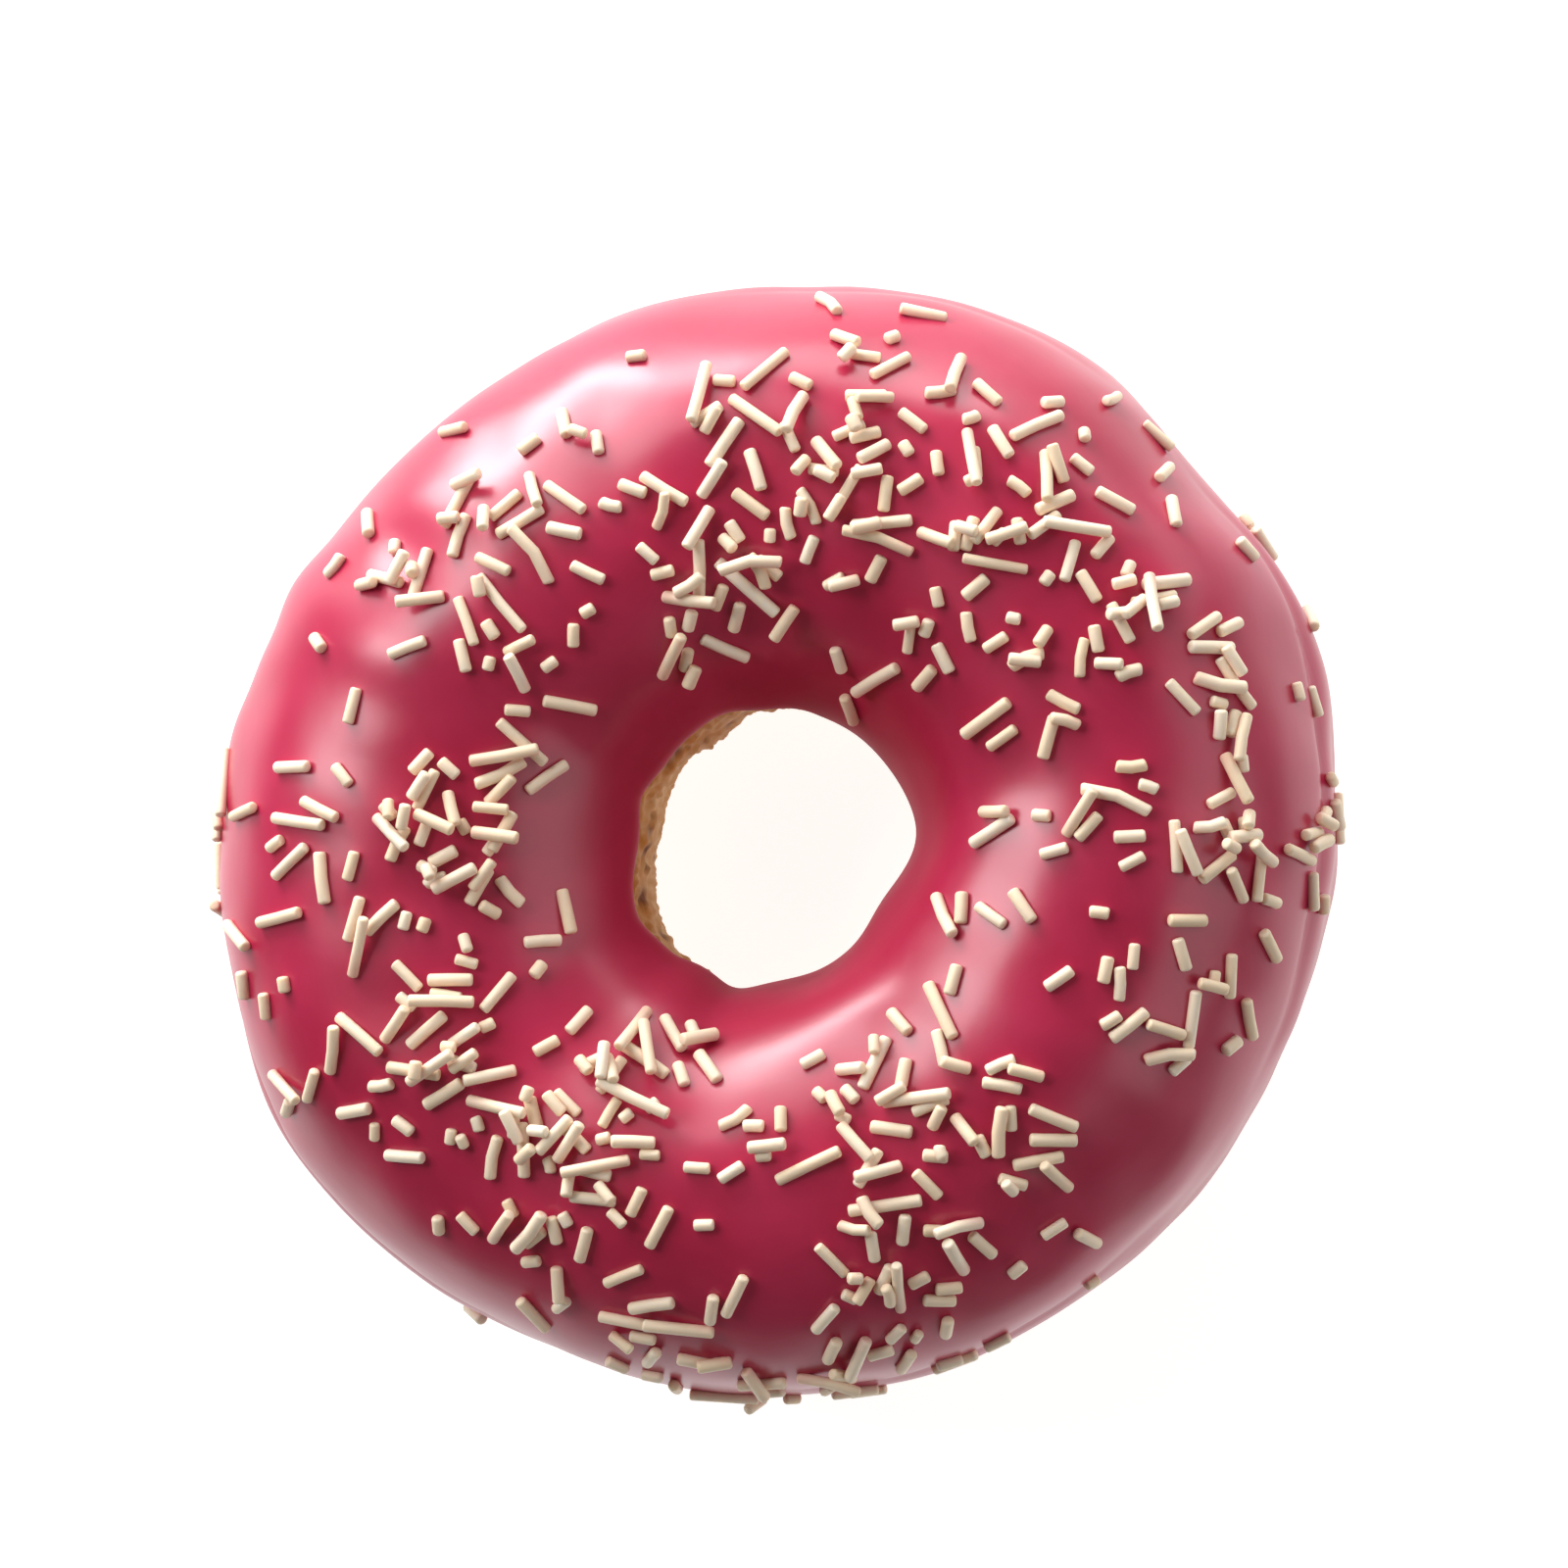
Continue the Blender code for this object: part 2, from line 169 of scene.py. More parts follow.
def addNode(tree, kind, sockets, stops=(), **settings):
    # a node with its settings; each socket gets a value or another node's output, a ramp gets its stops
    node = tree.nodes.new(kind)
    for name, value in settings.items():
        setattr(node, name, value)
    for key, value in sockets.items():
        if isinstance(value, bpy.types.NodeSocket):
            tree.links.new(value, node.inputs[key])
        else:
            node.inputs[key].default_value = value
    for number, (place, colour) in enumerate(stops):
        element = node.color_ramp.elements[number] if number < 2 else node.color_ramp.elements.new(place)
        element.position = place
        element.color = (*linear(colour), 1)
    return node


def newMaterial(name):
    # an empty material with its output, ready for a shader
    made = bpy.data.materials.new(name)
    made.use_nodes = True
    made.node_tree.nodes.clear()
    return made, made.node_tree


# The icing's edges, thickness and unevenness
icing = {
    "gap": 0.35,                # from the dough to the inside of the solid icing
    "thickness": 1.2,
    "outerBead": 0.5,           # extra thickness where the icing ran down and set
    "holeBead": 0.25,
    "beadWidth": 17,            # degrees of section
    "outerEdge": -14,
    "outerEdgeWaves": ((2, 3.0, 80), (5, 2.6, 10), (9, 2.2, 25), (14, 1.3, 5)),
    "holeEdge": 175,
    "holeEdgeWaves": ((1, 19.0, -20), (2, 3.4, -14), (3, 2.7, 34), (9, 0.9, 20)),
    "sunk": 0.2,                # how far its inside lies in the dough here, so that no gap shows
    "lips": (7.0, 8.0),         # width of the round edges, outside and in the hole, in degrees
    # slow swells and ripples all over: size, height, seed
    "unevenness": ((15.0, 0.13, 3), (7.5, 0.035, 4)),
    # soft folds where it set while it ran, then a fuller side in the hole and a fuller shoulder:
    # direction, half width, section angle, half width, height
    "folds": (
        (109, 4.0, 60, 15, -0.26), (124, 3.5, 57, 16, -0.30), (140, 4.5, 60, 15, -0.28),
        (157, 6.0, 55, 15, -0.18), (300, 40.0, 142, 16, 0.50), (305, 38.0, 27, 12, 0.60),
    ),
    # a groove round the side and the last roll under it: section angle, half width, height
    "rolls": ((11.0, 3.0, -0.50), (2.0, 6.0, 0.30)),
    "rollWaves": ((3, 2.0, -19.0986), (7, 1.2, 0)),     # how both wander up and down, in degrees
    # where both show: direction, half width, strength
    "rollStretches": ((8, 26, 1.0), (218, 22, 0.8), (176, 14, 0.6), (290, 20, 0.5), (75, 18, 0.25)),
    "segments": 576,
    "faceRows": 98,
    "bunching": 0.35,           # how much closer the rows are at the edges
    "lipRows": 9,
    "backRows": 14,
    # the lips' pale colour is partly the coat thinning to nothing and partly a painted reflection of the
    # pale floor
    "lipFade": 1.3,             # how fast the lips' pale colour goes over into the face's
    "dullBand": (128, 155),     # section angles between which the hole's icing turns dull
}


def icingEdges(theta):
    # section angles of both edges: mean angle + waves, in degrees, turned to radians
    outer = np.radians(icing["outerEdge"] + waved(theta, icing["outerEdgeWaves"]))
    hole = np.radians(icing["holeEdge"] + waved(theta, icing["holeEdgeWaves"]))
    return outer, hole


def icingDepth(theta, phi):
    # gap + thickness + a bead of exp(-(angle from the edge / width)^2) along each edge
    outer, hole = icingEdges(theta)
    width = math.radians(icing["beadWidth"])
    beads = icing["outerBead"] * np.exp(-(((phi - outer) / width) ** 2))
    beads = beads + icing["holeBead"] * np.exp(-(((hole - phi) / width) ** 2))
    return icing["gap"] + icing["thickness"] + beads


def icingRelief(theta, phi):
    # slow swells + ripples + folds of exp(-away^2 - over^2) + a groove and a roll of exp(-over^2)
    points = doughSurface(theta, phi)
    relief = sum(height * lumps(points, size, seed) for size, height, seed in icing["unevenness"])
    for direction, halfWidth, angle, halfOver, height in icing["folds"]:
        away = awayFrom(theta, direction, halfWidth)
        over = (np.degrees(phi) - angle) / halfOver
        relief = relief + height * np.exp(-(away ** 2) - over ** 2)
    wander = waved(theta, icing["rollWaves"])
    strength = dented(theta, icing["rollStretches"], sharpness=4)
    for angle, halfOver, height in icing["rolls"]:
        over = (np.degrees(phi) - angle - wander) / halfOver
        relief = relief + strength * height * np.exp(-(over ** 2))
    return relief


def icingSurface(theta, phi):
    # the smooth outer face of the solid icing: dough + normal * depth
    return doughSurface(theta, phi) + outward(theta, phi) * icingDepth(theta, phi)[..., None]


def pinkIcing():
    # White-chocolate icing coloured with raspberry, dipped and set: a smooth fat-based coat that is soft
    # to the eye, with broad pale highlights and deep red shade, as light goes a little way into it
    finish = {
        "stops": ((0.35, "#b01a42"), (0.7, "#ba264e")),
        # pale lip colour: partly the thin coat at its edges, partly a painted reflection of the pale floor
        # on the rounded lip
        "lip": "#cf8aa0",
        "ior": 1.70,
        # all over, and what is added down the hole, where the coat ran thin over the crust
        "roughness": (0.30, 0.30),
        "specular": (0.5, -0.38),       # 0.5 is all that the ior gives
        "scatter": 0.20,
        "scatterRadius": 0.0016,        # metres, and its shares for red, green and blue
        "scatterShares": (1.0, 0.22, 0.30),
        "patchSize": 11.0,      # mm, of the faint unevenness of its colour
        "peelSize": 2.4,        # mm, of the faint orange peel
        "peelDepth": 0.00002,
    }
    made, tree = newMaterial("pinkIcing")
    place = addNode(tree, "ShaderNodeTexCoord", {}).outputs["Object"]
    patches = addNode(tree, "ShaderNodeTexNoise", {
        "Vector": place, "Scale": 1000 / finish["patchSize"], "Detail": 3.0, "Roughness": 0.55})
    colour = addNode(tree, "ShaderNodeValToRGB", {"Fac": patches.outputs["Fac"]}, finish["stops"])
    # where the lips' thin coat and painted reflection show
    lip = addNode(tree, "ShaderNodeAttribute", {}, attribute_name="lip")
    mixed = addNode(tree, "ShaderNodeMix", {
        "Factor": lip.outputs["Fac"], 6: colour.outputs["Color"], 7: (*linear(finish["lip"]), 1)},
        data_type="RGBA")
    peel = addNode(tree, "ShaderNodeTexNoise", {
        "Vector": place, "Scale": 1000 / finish["peelSize"], "Detail": 2.0, "Roughness": 0.4})
    bump = addNode(tree, "ShaderNodeBump", {
        "Height": peel.outputs["Fac"], "Distance": finish["peelDepth"], "Strength": 1.0})
    dull = addNode(tree, "ShaderNodeAttribute", {}, attribute_name="dull")
    roughness, specular = [
        addNode(tree, "ShaderNodeMath", {0: dull.outputs["Fac"], 1: more, 2: base},
                operation="MULTIPLY_ADD").outputs[0]
        for base, more in (finish["roughness"], finish["specular"])
    ]
    shader = addNode(tree, "ShaderNodeBsdfPrincipled", {
        "Base Color": mixed.outputs[2], "Normal": bump.outputs["Normal"],
        "Roughness": roughness, "IOR": finish["ior"], "Specular IOR Level": specular,
        "Subsurface Weight": finish["scatter"], "Subsurface Radius": finish["scatterShares"],
        "Subsurface Scale": finish["scatterRadius"]})
    addNode(tree, "ShaderNodeOutputMaterial", {"Surface": shader.outputs[0]})
    return made


def makeIcing():
    # rows run up the outer lip, over the face, down the hole's lip and back along the inside; a point is
    # dough + normal * ((depth + relief + sunk) * rise - sunk), with rise a quarter circle at the lips
    theta = (np.arange(icing["segments"]) * 2 * math.pi / icing["segments"])[:, None]
    outer, hole = icingEdges(theta)
    lips = np.radians(icing["lips"])
    turn = np.linspace(0, math.pi / 2, icing["lipRows"])[None, :]
    t = np.linspace(0, 1, icing["faceRows"] + 2)[None, 1:-1]
    t = t - icing["bunching"] * np.sin(2 * math.pi * t) / (2 * math.pi)
    start, end = outer + lips[0], hole - lips[1]
    phi = np.concatenate([
        outer + lips[0] * (1 - np.cos(turn)),
        start + (end - start) * t,
        (hole - lips[1] * (1 - np.cos(turn)))[:, ::-1],
    ], axis=1)
    rise = np.concatenate([np.sin(turn), np.ones_like(t), np.sin(turn)[:, ::-1]], axis=1)
    back = hole + (outer - hole) * np.linspace(0, 1, icing["backRows"] + 2)[None, 1:-1]
    around = np.broadcast_to(theta, phi.shape)
    height = (icingDepth(around, phi) + icingRelief(around, phi) + icing["sunk"]) * rise - icing["sunk"]
    face = doughSurface(around, phi) + outward(around, phi) * height[..., None]
    around = np.broadcast_to(theta, back.shape)
    inside = doughSurface(around, back) - outward(around, back) * icing["sunk"]
    points = np.concatenate([face, inside], axis=1)
    # the lips' pale colour: the coat thins to nothing there, and a painted reflection of the pale floor on
    # the rounded edge
    lip = np.broadcast_to(1 - rise, phi.shape) ** icing["lipFade"]
    lip = np.concatenate([lip, np.zeros(back.shape)], axis=1)
    dull = np.concatenate([smooth(np.degrees(phi), *icing["dullBand"]), np.ones(back.shape)], axis=1)
    piece = meshPiece(
        "icing_coat", points.reshape(-1, 3), ringFaces(*points.shape[:2]), pinkIcing(),
        [("lip", lip), ("dull", dull)],
    )
    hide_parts("icing")
    return piece


makeIcing()

# The dough's crust
dough = {
    # the crust's unevenness, broad and middling: size, height, seed
    "unevenness": ((9.0, 0.20, 21), (3.2, 0.09, 22)),
    "crumb": (1.1, 0.045, 23),  # the same, all over, and twice as high in the hole
    "crumbWaves": 60,
    "pits": 420,
    "pitSeed": 12,
    "pitsInHole": 0.6,          # share of them
    "pitBands": ((145, 235), (235, 352)),   # section angles in the hole, and under and outside
    "pitSizes": (1.3, 2.6),     # of a beta draw from the smallest to the largest
    "pitRadius": (0.25, 0.80),
    "pitDepth": (0.08, 0.30),
    "pitShade": (1.3, 0.85),    # how fast its colour comes with depth, and its most
    "creases": (2.6, 0.10),     # fine rings round the lower side, left by the oil's surface
    "creaseWander": (12.0, 1.5, 24),        # their waviness: size, radians, seed
    # section angles between which each comes in and goes out
    "holeZone": (120, 150, 215, 245),
    "creaseZone": (295, 310, 335, 350),
    "restZone": (240, 252, 288, 300),
    "pressed": 0.7,             # share of the relief that resting takes away
    # how dark it is fried: round the side, more underneath and less in the hole, but not by the icing
    "bake": {"side": 0.36, "under": 0.44, "underFrom": (18, 60), "hole": 0.58, "byIcing": 0.8,
             "icingReach": 14, "patches": (8.0, 0.07, 25)},
    "tuck": 9,                  # degrees that its fine rows reach in under the icing
    "segments": 500,
    "hiddenRows": 16,
    "shownRows": 168,
}


def friedDough():
    # Yeast dough fried in oil: a thin golden crust, satin from the oil, paler where it floated clear of it
    # and darkest underneath; its pits get painted shade, darker the deeper they are
    finish = {
        "stops": ((0.0, "#e2c27a"), (0.35, "#d09d42"), (0.62, "#a1682b"), (1.0, "#633a18")),
        # painted shade in the pits
        "shadedPit": "#6b3012",
        "roughness": 0.58,
        "scatter": 0.10,
        "scatterRadius": 0.0015,        # metres, and its shares for red, green and blue
        "scatterShares": (1.0, 0.5, 0.25),
        "patchSize": 3.0,       # mm, of the crust's flecks
        "fleckSpread": 0.9,
        "grainSize": 0.45,      # mm, of the finest grain, drawn twice as coarse as it is so that it shows
        "grainDepth": 0.00006,
    }
    made, tree = newMaterial("friedDough")
    place = addNode(tree, "ShaderNodeTexCoord", {}).outputs["Object"]
    bake = addNode(tree, "ShaderNodeAttribute", {}, attribute_name="bake")
    # painted shade in the pits, darker the deeper they are
    shadedPit = addNode(tree, "ShaderNodeAttribute", {}, attribute_name="shadedPit")
    flecks = addNode(tree, "ShaderNodeTexNoise", {
        "Vector": place, "Scale": 1000 / finish["patchSize"], "Detail": 5.0, "Roughness": 0.65})
    spread = addNode(tree, "ShaderNodeMath", {
        0: flecks.outputs["Fac"], 1: finish["fleckSpread"], 2: -finish["fleckSpread"] / 2},
        operation="MULTIPLY_ADD")
    total = addNode(tree, "ShaderNodeMath", {0: bake.outputs["Fac"], 1: spread.outputs[0]}, operation="ADD")
    colour = addNode(tree, "ShaderNodeValToRGB", {"Fac": total.outputs[0]}, finish["stops"])
    mixed = addNode(tree, "ShaderNodeMix", {
        "Factor": shadedPit.outputs["Fac"], 6: colour.outputs["Color"], 7: (*linear(finish["shadedPit"]), 1)},
        data_type="RGBA")
    grain = addNode(tree, "ShaderNodeTexNoise", {
        "Vector": place, "Scale": 1000 / finish["grainSize"], "Detail": 4.0, "Roughness": 0.6})
    bump = addNode(tree, "ShaderNodeBump", {
        "Height": grain.outputs["Fac"], "Distance": finish["grainDepth"], "Strength": 1.0})
    shader = addNode(tree, "ShaderNodeBsdfPrincipled", {
        "Base Color": mixed.outputs[2], "Normal": bump.outputs["Normal"],
        "Roughness": finish["roughness"], "Subsurface Weight": finish["scatter"],
        "Subsurface Radius": finish["scatterShares"], "Subsurface Scale": finish["scatterRadius"]})
    addNode(tree, "ShaderNodeOutputMaterial", {"Surface": shader.outputs[0]})
    return made


def scatterPits(draw, count):
    # random places on the dough below the icing, closest together in the hole
    theta = draw.uniform(0, 2 * math.pi, count)
    inHole = draw.uniform(size=count) < dough["pitsInHole"]
    inside, outside = [draw.uniform(*band, count) for band in dough["pitBands"]]
    return doughSurface(theta, np.radians(np.where(inHole, inside, outside)))


def pitDepths(points, centres, radii, depths, blocks=240):
    # the deepest of depth * exp(-(distance / radius)^2) over all pits, worked out block by block
    found = np.zeros(len(points))
    for block in np.array_split(np.arange(len(points)), blocks):
        away = np.linalg.norm(points[block, None] - centres[None], axis=-1)
        found[block] = (depths * np.exp(-((away / radii) ** 2))).max(-1)
    return found


def makePits(points):
    # radius and depth of a pit = smallest + (largest - smallest) * one beta draw
    draw = np.random.RandomState(dough["pitSeed"])
    centres = scatterPits(draw, dough["pits"])
    size = draw.beta(*dough["pitSizes"], dough["pits"])
    radii, depths = [low + (high - low) * size for low, high in (dough["pitRadius"], dough["pitDepth"])]
    return pitDepths(points.reshape(-1, 3), centres, radii, depths).reshape(points.shape[:2])


def crustRelief(points, angle, inHole):
    # lumps of three sizes + sin(2 pi height / spacing + wander) round the side, less where it rests
    relief = sum(height * lumps(points, size, seed) for size, height, seed in dough["unevenness"])
    size, height, seed = dough["crumb"]
    relief = relief + height * (1 + inHole) * lumps(points, size, seed, dough["crumbWaves"])
    size, turns, seed = dough["creaseWander"]
    wander = turns * lumps(points, size, seed)
    spacing, height = dough["creases"]
    creases = np.sin(2 * math.pi * points[..., 2] / spacing + wander)
    relief = relief + height * zone(angle, dough["creaseZone"]) * creases
    return relief * (1 - dough["pressed"] * zone(angle, dough["restZone"]))


def bakeOf(points, angle, inHole, pastIcing):
    # side + under * smooth(angle) - hole * (1 - share by the icing) + patches
    bake = dough["bake"]
    side = np.minimum(np.abs(angle), 360 - angle)       # degrees from the outer widest line
    byIcing = 1 - smooth(pastIcing, 0, math.radians(bake["icingReach"]))
    size, height, seed = bake["patches"]
    total = bake["side"] + bake["under"] * smooth(side, *bake["underFrom"])
    total = total - bake["hole"] * inHole * (1 - bake["byIcing"] * byIcing)
    return total + height * lumps(points, size, seed)


def makeDough():
    # rows are close together where the dough shows; a point is ring section + normal * (lumps - pits)
    theta = (np.arange(dough["segments"]) * 2 * math.pi / dough["segments"])[:, None]
    outer, hole = icingEdges(theta)
    tuck = math.radians(dough["tuck"])
    low, high = outer + tuck, hole - tuck
    share = np.linspace(0, 1, dough["hiddenRows"], endpoint=False)[None, :]
    hidden = low + (high - low) * share
    share = np.linspace(0, 1, dough["shownRows"], endpoint=False)[None, :]
    shown = high + (low + 2 * math.pi - high) * share
    phi = np.concatenate([hidden, shown], axis=1)
    around = np.broadcast_to(theta, phi.shape)
    points, normal = doughSurface(around, phi), outward(around, phi)
    angle = np.degrees(phi) % 360
    inHole = zone(angle, dough["holeZone"])
    shadedPit = makePits(points)
    relief = crustRelief(points, angle, inHole) - shadedPit
    points = points + normal * relief[..., None]
    points[..., 2] = np.maximum(points[..., 2], 0)
    # the pits' painted shade, darker the deeper they are
    most, limit = dough["pitShade"]
    piece = meshPiece(
        "fried_ring", points.reshape(-1, 3), ringFaces(*points.shape[:2]), friedDough(),
        [("bake", bakeOf(points, angle, inHole, phi - hole)),
         ("shadedPit", np.clip(shadedPit / dough["pitDepth"][1] * most, 0, limit))],
    )
    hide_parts("dough_ring")
    return piece


makeDough()

# The sugar strands, laid by the same rule and draws as the solid ones
strands = {
    "radius": 0.49,
    "lengths": (1.1, 6.6),
    "lengthSpread": (1.2, 2.6),     # of a beta draw between the two lengths
    "sink": 0.20,                   # how far a strand sits in the icing
    "press": 0.05,                  # how far a strand sits in one that it lies on
    "seed": 935,
    "bundleShare": 0.22,            # strands that lie along their neighbour
    "bundleTurn": 0.16,
    "bundleReach": 1.6,
    "mostPile": 2.3,                # highest a strand's middle may lie over the icing
    "mostSlope": 0.5,
    "mostHeight": 35.5,             # a strand whose end would stand higher rolls off
    "rolls": 3,                     # places that a strand tries; it stays where it lies lowest
    "slide": (2.2, 4.4),            # degrees that it slides for each, round the ring and over its section
    "restPoints": 7,
    "restSpan": 0.92,
    # where strands fell together: direction, distance from the axis, spread, count
    "drifts": (
        (62, 33, 4.4, 28), (77, 38, 3.0, 6), (78, 29, 3.0, 10), (74, 34, 2.6, 6), (92, 33, 3.0, 8),
        (107, 34, 3.0, 4), (122, 32, 3.0, 12), (137, 34, 3.8, 10), (94, 22, 3.2, 11), (109, 17, 1.8, 6),
        (107, 27, 3.0, 5), (140, 26, 4.0, 10), (152, 39, 2.8, 3), (157, 22, 3.2, 7), (179, 25, 3.4, 24),
        (176, 37, 3.6, 9), (196, 20, 3.0, 9), (192, 41, 2.6, 3), (212, 29, 3.4, 19), (208, 40, 3.4, 7),
        (238, 27, 4.2, 28), (248, 20, 2.6, 11), (236, 39, 3.2, 3), (260, 37, 4.0, 9), (253, 30, 2.4, 4),
        (272, 25, 2.4, 6), (289, 24, 2.8, 7), (305, 23, 2.8, 12), (296, 31, 3.4, 10), (287, 38, 3.6, 13),
        (303, 39, 3.4, 4), (313, 31, 2.8, 8), (338, 35, 4.0, 17), (351, 37, 3.0, 8), (3, 38, 3.2, 16),
        (18, 41, 3.4, 14), (31, 35, 3.6, 12), (46, 39, 4.0, 10), (27, 26, 3.6, 9), (50, 29, 3.0, 7),
        (47, 17, 2.2, 3), (3, 28, 2.8, 4), (354, 21, 2.4, 4), (54, 24, 2.6, 3), (246, 43, 2.6, 6),
        (259, 43, 2.8, 9), (273, 43, 2.8, 9), (283, 42, 2.6, 5),
    ),
    "spreadSigma": 0.95,
    "topBand": (-0.93, 0.95),       # one that lands past it slides off
    "loose": 80,
    "looseReach": (17, 40),
    # down the side: direction and spread in degrees, count
    "sideDrifts": ((0, 10, 9), (30, 5, 4), (182, 9, 6), (262, 30, 13)),
    "sideBand": (-8, 26),
    "edgeMargins": (5.7, 12.6),
    # the looks of each strand
    "looksSeed": 7,
    "thickness": 0.05,              # deviation from one to the next
    "thicknessLimits": (0.85, 1.15),
    "bentShare": 0.16,
    "mostBend": 0.10,               # how far a bent one's middle stands off, as a share of its length
    "slightBend": 0.08,             # deviation of the straight ones, as a share of the most
    "endRound": 0.46,               # of its radius
    "endRings": 4,
    "bodyRings": 3,
    "sides": 12,
    "tone": (0.5, 0.22),            # mean and deviation of its place between the darkest and palest
    "stainAndBounceReach": 1.6,              # how far the icing's colour and the painted pink bounce light reach up, in radii
}
noContact = -1000.0                 # the height where a strand meets nothing


def strandSpots(draw):
    # section angle from reach: arccos(across^(n/2)), across = (reach - middle) / (half width + thickness)
    around, reach = [], []
    for direction, distance, spread, count in strands["drifts"]:
        sigma = strands["spreadSigma"] * spread
        reach.append(distance + draw.normal(0, sigma, count))
        around.append(math.radians(direction) + draw.normal(0, sigma / distance, count))
    around.append(draw.uniform(0, 2 * math.pi, strands["loose"]))
    reach.append(draw.uniform(*strands["looseReach"], strands["loose"]))
    around = np.concatenate(around)
    middle, halfWidth = ringOutline(around)
    across = (np.concatenate(reach) - middle) / (halfWidth + icing["thickness"])
    low, high = strands["topBand"]
    stays = (across > low) & (across < high)
    around, over = [around[stays]], [np.arccos(power(across[stays], ring["upperRoundness"] / 2))]
    for direction, spread, count in strands["sideDrifts"]:
        around.append(np.radians(draw.normal(direction, spread, count)))
        over.append(np.radians(draw.uniform(*strands["sideBand"], count)))
    return np.concatenate(around), np.concatenate(over)


def heightOver(other, points, normal):
    # how far along the normal a strand's middle line has to be over each point to clear another one:
    # rise to the other's middle line + sqrt(touch^2 - sideways distance^2)
    flat = other["direction"] - (other["direction"] @ normal) * normal
    run = (points - other["middle"]) @ flat / (flat @ flat)
    run = np.clip(run, -other["length"] / 2, other["length"] / 2)
    gap = other["middle"] + run[:, None] * other["direction"] - points
    rise = gap @ normal
    aside = np.linalg.norm(gap - rise[:, None] * normal, axis=1)
    touch = 2 * strands["radius"] - strands["press"]
    return np.where(aside < touch, rise + np.sqrt(np.maximum(touch**2 - aside**2, 0)), noContact)


def restingLine(offsets, heights):
    # the edge of the profile's upper hull that passes over the middle: its height there and its slope
    best = (noContact, 0.0)
    for i in np.flatnonzero(offsets <= 0):
        for j in np.flatnonzero(offsets >= 0):
            if i < j:
                slope = (heights[j] - heights[i]) / (offsets[j] - offsets[i])
                best = max(best, (heights[i] - slope * offsets[i], slope))
    return best


def layStrand(theta, phi, length, heading, turn, laid):
    # middle = icing + normal * level, direction = heading in the surface + slope * normal
    place = icingSurface(np.array(theta), np.array(phi))
    normal = outward(np.array(theta), np.array(phi))
    east = np.array([-math.sin(theta), math.cos(theta), 0.0])
    north = np.cross(normal, east)
    if turn is not None and laid:
        near = min(laid, key=lambda other: np.linalg.norm(other["middle"] - place))
        if np.linalg.norm(near["middle"] - place) < strands["bundleReach"]:
            heading = math.atan2(near["direction"] @ north, near["direction"] @ east) + turn
    along = math.cos(heading) * east + math.sin(heading) * north
    span = strands["restSpan"] / 2
    offsets = np.linspace(-span, span, strands["restPoints"]) * length
    touched = icingSurface(
        theta + offsets * math.cos(heading) / math.hypot(place[0], place[1]),
        phi + offsets * math.sin(heading) / ringOutline(np.array(theta))[1],
    )
    heights = (touched - place) @ normal + strands["radius"] - strands["sink"]
    for other in laid:
        reach = (length + other["length"]) / 2 + 2 * strands["radius"]
        if np.linalg.norm(other["middle"] - place) < reach:
            heights = np.maximum(heights, heightOver(other, place + offsets[:, None] * along, normal))
    level, slope = restingLine(offsets, heights)
    if level > strands["mostPile"] or abs(slope) > strands["mostSlope"]:
        return None
    direction = (along + slope * normal) / math.hypot(1, slope)
    middle = place + normal * level
    if middle[2] + abs(direction[2]) * length / 2 + strands["radius"] > strands["mostHeight"]:
        return None
    return {"middle": middle, "direction": direction, "length": length,
            "level": level, "normal": normal, "theta": theta, "phi": phi}


def layStrands():
    # one by one, each on the icing or on those that are there already, where it lies lowest of a few tries
    draw = np.random.RandomState(strands["seed"])
    shortest, longest = strands["lengths"]
    margins = np.radians(strands["edgeMargins"])
    laid = []
    for spot in zip(*strandSpots(draw)):
        length = shortest + (longest - shortest) * draw.beta(*strands["lengthSpread"])
        headings = draw.uniform(0, math.pi, strands["rolls"])
        slides = draw.normal(0, np.radians(strands["slide"]), (strands["rolls"], 2))
        slides[0] = 0
        bundled = draw.uniform() < strands["bundleShare"]
        turn = draw.normal(0, strands["bundleTurn"]) if bundled else None
        found = []
        for (theta, phi), heading in zip(np.array(spot) + slides, headings):
            outer, hole = icingEdges(np.array(theta))
            if outer + margins[0] < phi < hole - margins[1]:
                found.append(layStrand(theta, phi, length, heading, turn, laid))
            turn = None
        found = [strand for strand in found if strand]
        if found:
            laid.append(min(found, key=lambda strand: strand["level"]))
    return laid


